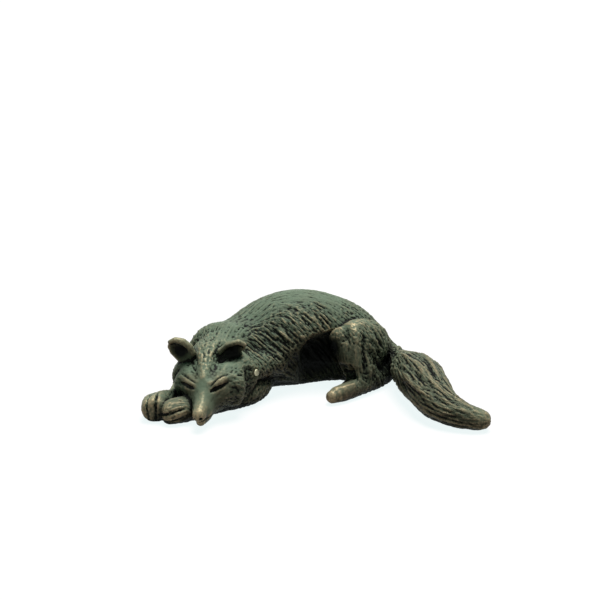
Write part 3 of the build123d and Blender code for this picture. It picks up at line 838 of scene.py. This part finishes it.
def patinated_bronze():
    """Cast bronze under a brushed green and brown patina: satin, with painted shade in the dips and sheltered
    places, and bare on ridges, with painted highlights.
    """
    material, tree = new_material("patinated_bronze")
    place = add_node(tree, "ShaderNodeTexCoord").outputs["Object"]
    brown, worn, hollow, shaded = [
        add_node(tree, "ShaderNodeAttribute", attribute_name=name).outputs["Fac"]
        for name in ("brown", "worn", "hollow", "shaded")
    ]
    pattern = {"Vector": place, "Scale": 1 / (CLOUD_SIZE * MM), "Detail": 4.0}
    cloud = add_node(tree, "ShaderNodeTexNoise", pattern)
    pattern = {"Vector": place, "Scale": 1 / (SPECK_SIZE * MM), "Detail": 3.0}
    speck = add_node(tree, "ShaderNodeTexNoise", pattern)
    drawn, height = drawn_hairs(tree, place)
    # Painted shade between the drawn hairs and in the dips of the skin, where the patina also gathers
    between = add_node(tree, "ShaderNodeMath", {0: drawn, 1: height}, operation="SUBTRACT")
    sunk = {0: between, 1: HAIR_DARKNESS, 2: hollow}
    dip = add_node(tree, "ShaderNodeMath", sunk, operation="MULTIPLY_ADD", use_clamp=True)
    clouded = {0: cloud, 1: CLOUD_SPREAD, 2: CLOUD_SHIFT}
    drift = add_node(tree, "ShaderNodeMath", clouded, operation="MULTIPLY_ADD")
    warmth = add_node(tree, "ShaderNodeMath", {0: brown, 1: drift}, operation="ADD", use_clamp=True)
    # Rubbing wears the patina through in specks, which also stand for painted highlights on the ridges.
    patchy = add_node(tree, "ShaderNodeMapRange", {"Value": speck, "From Min": 0.15, "From Max": 0.85})
    rubbed_and_highlight = add_node(tree, "ShaderNodeMath", {0: worn, 1: patchy}, operation="MULTIPLY", use_clamp=True)
    colour = linear(GREEN_PATINA)
    for share, hex_colour in (
        (warmth, BROWN_PATINA), (shaded, PAINTED_SHADE), (dip, SUNK_PAINTED_SHADE), (rubbed_and_highlight, RUBBED_BRONZE_AND_HIGHLIGHT),
    ):
        layer = {"Factor": share, "A": colour, "B": linear(hex_colour)}
        colour = add_node(tree, "ShaderNodeMix", layer, data_type="RGBA").outputs["Result"]
    metal = add_node(tree, "ShaderNodeMapRange", {"Value": rubbed_and_highlight, "To Min": 0.0, "To Max": 0.8})
    satin = add_node(tree, "ShaderNodeMapRange", {"Value": speck, "To Min": 0.36, "To Max": 0.56})
    hairy_relief = {"Height": height, "Strength": 0.8, "Distance": HAIR_DEPTH * MM}
    hairy = add_node(tree, "ShaderNodeBump", hairy_relief)
    grainy_relief = {"Height": speck, "Strength": 0.35, "Distance": SPECK_DEPTH * MM, "Normal": hairy}
    grainy = add_node(tree, "ShaderNodeBump", grainy_relief)
    shader = add_node(tree, "ShaderNodeBsdfPrincipled", {
        "Base Color": colour,
        "Metallic": metal,
        "Roughness": satin,
        "Normal": grainy,
        "Specular IOR Level": 0.05,
    })
    add_node(tree, "ShaderNodeOutputMaterial", {"Surface": shader})
    return material


# Clouds of tarnish and file marks on bare bronze: their sizes, how the marks are drawn out, and their depth
TARNISH_SIZE = 1.5
FILE_MARK_SIZE = 0.2
FILE_MARK_STRETCH = (1.0, 0.08, 0.3)
FILE_MARK_DEPTH = 0.05


def bare_bronze(name, hex_colour, dark_hex_colour, roughness):
    """Bronze rod or sheet that was filed flush: metal with a thin tarnish in clouds, and fine file marks."""
    material, tree = new_material(name)
    place = add_node(tree, "ShaderNodeTexCoord").outputs["Object"]
    pattern = {"Vector": place, "Scale": 1 / (TARNISH_SIZE * MM), "Detail": 3.0}
    cloud = add_node(tree, "ShaderNodeTexNoise", pattern)
    drawn_out = add_node(tree, "ShaderNodeMapping", {"Vector": place, "Scale": FILE_MARK_STRETCH})
    marks = add_node(tree, "ShaderNodeTexNoise", {"Vector": drawn_out, "Scale": 1 / (FILE_MARK_SIZE * MM)})
    layer = {"Factor": cloud, "A": linear(dark_hex_colour), "B": linear(hex_colour)}
    colour = add_node(tree, "ShaderNodeMix", layer, data_type="RGBA").outputs["Result"]
    filed_relief = {"Height": marks, "Strength": 0.3, "Distance": FILE_MARK_DEPTH * MM}
    filed = add_node(tree, "ShaderNodeBump", filed_relief)
    shader = add_node(tree, "ShaderNodeBsdfPrincipled", {
        "Base Color": colour,
        "Metallic": 0.9,
        "Roughness": roughness,
        "Normal": filed,
    })
    add_node(tree, "ShaderNodeOutputMaterial", {"Surface": shader})
    return material


# Pieces

# A patch of fewer faces than this belongs to the casting round it.
STRAY_FACES = 400


def touching_faces(quads):
    """Pairs of faces that share an edge, as two rows of numbers."""
    edges = np.sort(np.concatenate([quads[:, [corner, (corner + 1) % 4]] for corner in range(4)]), axis=1)
    faces = np.tile(np.arange(len(quads)), 4)
    order = np.lexsort(edges.T)
    shared = np.all(edges[order[1:]] == edges[order[:-1]], axis=1)
    return faces[order[:-1]][shared], faces[order[1:]][shared]


def patches(count, first, second):
    """Patch that each face is in when pairs of faces are linked, by the patch's lowest number of a face."""
    patch = np.arange(count)
    while True:
        low = np.minimum(patch[first], patch[second])
        lower = patch.copy()
        np.minimum.at(lower, patch[first], low)
        np.minimum.at(lower, patch[second], low)
        lower = lower[lower]
        if np.array_equal(lower, patch):
            return patch
        patch = lower


def main_skin(quads):
    """Faces of the largest skin, without loose crumbs and the skins of holes inside."""
    patch = patches(len(quads), *touching_faces(quads))
    return quads[patch == np.bincount(patch).argmax()]


def casting_of_faces(points, quads):
    """Number of the casting that each face lies on, with no stray patches."""
    middles = points[quads].mean(axis=1)
    cells = np.rint(middles / CLAY_STEP).astype(int) - clay_low
    best = np.full(len(quads), np.inf)
    owner = np.zeros(len(quads), int)
    for number, name in enumerate(CASTINGS):
        distances = dense(node_level_set([name]))[cells[:, 0], cells[:, 1], cells[:, 2]]
        nearer = distances < best
        best[nearer] = distances[nearer]
        owner[nearer] = number
    first, second = touching_faces(quads)
    alike = owner[first] == owner[second]
    patch = patches(len(quads), first[alike], second[alike])
    stray = np.bincount(patch)[patch] < STRAY_FACES
    owner_around = np.zeros(len(quads), int)
    for inside, outside in ((first, second), (second, first)):
        border = stray[inside] & ~stray[outside]
        owner_around[patch[inside[border]]] = owner[outside[border]]
    return np.where(stray, owner_around[patch], owner)


# Least depth in the clay at which the middle of a cap lies
CAP_DEPTH = 2.5


def open_loops(faces):
    """Closed runs of the edges that only one of the faces has, each in the order that closes it."""
    edges = np.concatenate([faces[:, [corner, (corner + 1) % 4]] for corner in range(4)])
    size = int(edges.max()) + 1
    keys = edges[:, 0] * size + edges[:, 1]
    partners = edges[:, 1] * size + edges[:, 0]
    border = edges[~np.isin(keys, partners)]
    following = {}
    for first, second in border.tolist():
        following.setdefault(second, []).append(first)
    loops = []
    while following:
        start = next(iter(following))
        loop = [start]
        here = start
        while True:
            step = following[here].pop()
            if not following[here]:
                del following[here]
            if step == start:
                break
            loop.append(step)
            here = step
        loops.append(loop)
    return loops


def casting_piece(name, clay, points, faces, normals, looks, material):
    """One casting as a closed piece: its share of the skin, and a cap inside the clay over each joint."""
    used, faces = np.unique(faces, return_inverse=True)
    faces = faces.reshape(-1, 4)
    corners = points[used]
    directions = normals[used]
    looks = {key: values[used] for key, values in looks.items()}
    caps = []
    for loop in open_loops(faces):
        middle = corners[loop].mean(axis=0)
        cell = np.rint(middle / CLAY_STEP).astype(int) - clay_low
        if clay[tuple(cell)] > -CAP_DEPTH:
            middle = on_skin(clay, middle, lift=-CAP_DEPTH)
        apex = len(corners)
        corners = np.vstack([corners, middle])
        directions = np.vstack([directions, directions[loop].mean(axis=0)])
        looks = {key: np.concatenate([values, values[loop[:1]]]) for key, values in looks.items()}
        caps += [(first, second, apex) for first, second in zip(loop, loop[1:] + loop[:1])]
    caps = np.array(caps, int).reshape(-1, 3)
    sizes = np.concatenate([np.full(len(faces), 4), np.full(len(caps), 3)])
    mesh = new_mesh(name + "_cast", corners, np.concatenate([faces.ravel(), caps.ravel()]), sizes)
    for key, values in looks.items():
        give_values(mesh, key, values)
    mesh.normals_split_custom_set_from_vertices(directions.tolist())
    mesh.materials.append(material)
    piece = bpy.data.objects.new(name + "_cast", mesh)
    bpy.context.scene.collection.objects.link(piece)
    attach(piece, "root")
    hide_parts(name)


PLUG_SIDES = 28
# Share of the plug's radius, and height over the skin, from the inner end of a plug to the top of its head
PLUG_PROFILE = [(1.0, -2.2), (1.0, 0.10), (0.93, 0.26), (0.75, 0.38), (0.4, 0.44)]


def core_pin_plugs(seats):
    """Plugs in the core-pin holes: rods with a head that was hammered round."""
    turns = np.linspace(0, 2 * math.pi, PLUG_SIDES, endpoint=False)
    corners, loops, sizes = [], [], []
    for seat, out in seats:
        across = np.cross(out, (0.0, 0.0, 1.0))
        across /= np.linalg.norm(across)
        along = np.cross(out, across)
        start = len(corners)
        for share, height in PLUG_PROFILE:
            radius = share * PLUG_RADIUS
            middle = seat + out * height
            for turn in turns:
                corners.append(middle + radius * (math.cos(turn) * across + math.sin(turn) * along))
        rings = start + np.arange(len(PLUG_PROFILE) * PLUG_SIDES).reshape(-1, PLUG_SIDES)
        for low, high in zip(rings, rings[1:]):
            quads = np.stack([low, np.roll(low, -1), np.roll(high, -1), high], axis=1)
            loops += quads.ravel().tolist()
            sizes += [4] * PLUG_SIDES
        loops += rings[0][::-1].tolist() + rings[-1].tolist()
        sizes += [PLUG_SIDES] * 2
    mesh = new_mesh("core_pin_plugs_filed", np.array(corners), loops, np.array(sizes))
    mesh.materials.append(bare_bronze("plug_bronze", "#c6c3a6", "#8f8f76", roughness=0.5))
    piece = bpy.data.objects.new("core_pin_plugs_filed", mesh)
    bpy.context.scene.collection.objects.link(piece)
    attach(piece, "root")
    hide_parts("core_pin_plugs")


# Rounds of smoothing for small and broad relief, and millimetres of each that count as standing out
FINE_ROUNDS = 6
FINE_RELIEF = 0.10
BROAD_ROUNDS = 40
BROAD_RELIEF = 0.5
# How far the skin stands out where wear and its painted highlights begin, and how far it is sunk where a dip,
# with painted shade, begins
WEAR_AND_HIGHLIGHT_START = 0.6
DIP_START = 0.1


def cast_figurine():
    """The castings, modelled in clay, furred and parted, and their plugs."""
    bronze = patinated_bronze()
    clay, seats = modelled_clay()
    points, quads = clay_mesh(clay)
    quads = main_skin(quads)
    owner = casting_of_faces(points, quads)
    points, run, values = furred(points, quads, point_normals(points, quads), bronze)
    points[:, 2] = np.maximum(points[:, 2], 0)
    normals = point_normals(points, quads)
    standing = relief(points, quads, normals, FINE_ROUNDS) / FINE_RELIEF
    standing += relief(points, quads, normals, BROAD_ROUNDS) / BROAD_RELIEF
    shaded = shade(clay, points)
    # Masks of the colour: wear with painted highlights on standing ridges, and painted shade in the dips and
    # the sheltered hollows
    looks = {
        "run": run,
        "stroke": values["stroke"],
        "brown": values["brown"],
        "worn": np.clip(standing - WEAR_AND_HIGHLIGHT_START, 0, 1) * np.clip(values["worn"], 0, 1) * (1 - shaded),
        "hollow": np.clip(-standing - DIP_START, 0, 1),
        "shaded": shaded,
    }
    for number, name in enumerate(CASTINGS):
        casting_piece(name, clay, points, quads[owner == number], normals, looks, bronze)
    core_pin_plugs(seats)


def finish_fittings():
    """Gives the plate and the dowels, which stay as they are in the CAD, their bronzes."""
    plate_bronze = bare_bronze("plate_bronze", "#8a6c4a", "#5a452f", roughness=0.4)
    dowel_bronze = bare_bronze("dowel_bronze", "#a07c52", "#7a5d3e", roughness=0.35)
    for name in ["belly_plate"] + DOWELS:
        bronze = dowel_bronze if name in DOWELS else plate_bronze
        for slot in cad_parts[name].material_slots:
            slot.material = bronze


# Studio

# The paper: what it gives back of the light, what it adds so that it shows white, and how far it goes
PAPER_COLOUR = "#765d5d"
PAPER_GLOW = "#ecf5f5"
PAPER_REACH = 3000.0
# What the surroundings send onto the figurine, where the camera sees them white
FILL_COLOUR = "#9cf0e2"
FILL_STRENGTH = 0.09
# The overhead light: its strength, how wide it is in degrees, and the way it shines
LIGHT_STRENGTH = 3.8
LIGHT_WIDTH = 40
LIGHT_WAY = (-0.10, -0.22, -1.0)
# The camera: the point it looks at, how far it is from there, how far down it looks in degrees, and its lens
CAMERA_TARGET = (-5.23, 15.76, 30.0)
CAMERA_DISTANCE = 640
CAMERA_PITCH = 18.5
CAMERA_LENS = 104.4
CAMERA_SENSOR = 36.0


def seen_directly(tree):
    """Node that gives 1 for what the camera sees, straight or in a gloss or through glass."""
    path = add_node(tree, "ShaderNodeLightPath").outputs
    seen = path["Is Camera Ray"]
    for ray in ("Is Glossy Ray", "Is Transmission Ray"):
        seen = add_node(tree, "ShaderNodeMath", {0: seen, 1: path[ray]}, operation="ADD", use_clamp=True)
    return seen


def studio_floor():
    """White paper that shows white, keeps pale shadows, and throws little light back up at the figurine."""
    material, tree = new_material("white_paper")
    paper = add_node(tree, "ShaderNodeBsdfDiffuse", {"Color": linear(PAPER_COLOUR)})
    seen = seen_directly(tree)
    glow = add_node(tree, "ShaderNodeEmission", {"Color": linear(PAPER_GLOW), "Strength": seen})
    white = add_node(tree, "ShaderNodeAddShader", {0: paper, 1: glow})
    add_node(tree, "ShaderNodeOutputMaterial", {"Surface": white})
    corners = np.array([(-1, -1, 0), (1, -1, 0), (1, 1, 0), (-1, 1, 0)]) * PAPER_REACH
    mesh = new_mesh("floor", corners, np.arange(4), np.array([4]))
    mesh.materials.append(material)
    floor = bpy.data.objects.new("floor", mesh)
    bpy.context.scene.collection.objects.link(floor)


def studio_light():
    """White surroundings that send back a faint cool fill, and one wide soft light from above and behind."""
    world = bpy.data.worlds.new("studio")
    bpy.context.scene.world = world
    world.use_nodes = True
    tree = world.node_tree
    tree.nodes.clear()
    seen = seen_directly(tree)
    strength = add_node(tree, "ShaderNodeMapRange", {"Value": seen, "To Min": FILL_STRENGTH, "To Max": 1.0})
    tint = {"Factor": seen, "A": linear(FILL_COLOUR), "B": linear("#ffffff")}
    colour = add_node(tree, "ShaderNodeMix", tint, data_type="RGBA").outputs["Result"]
    back = add_node(tree, "ShaderNodeBackground", {"Color": colour, "Strength": strength})
    add_node(tree, "ShaderNodeOutputWorld", {"Surface": back})
    light = bpy.data.lights.new("overhead_light", "SUN")
    light.energy = LIGHT_STRENGTH
    light.angle = math.radians(LIGHT_WIDTH)
    lamp = bpy.data.objects.new("overhead_light", light)
    lamp.rotation_euler = Vector(LIGHT_WAY).to_track_quat("-Z", "Y").to_euler()
    bpy.context.scene.collection.objects.link(lamp)


def photo_camera():
    """Camera at the photograph's viewing angle."""
    target = Vector(CAMERA_TARGET) * MM
    pitch = math.radians(CAMERA_PITCH)
    camera = bpy.data.cameras.new("camera")
    camera.lens = CAMERA_LENS
    camera.sensor_width = CAMERA_SENSOR
    camera.clip_start = 0.01
    stand = bpy.data.objects.new("camera", camera)
    stand.location = target + Vector((0, -math.cos(pitch), math.sin(pitch))) * CAMERA_DISTANCE * MM
    stand.rotation_euler = (math.pi / 2 - pitch, 0, 0)
    bpy.context.scene.collection.objects.link(stand)
    bpy.context.scene.camera = stand


bpy.context.scene.view_settings.view_transform = "Standard"
photo_camera()
studio_floor()
studio_light()
cast_figurine()
finish_fittings()
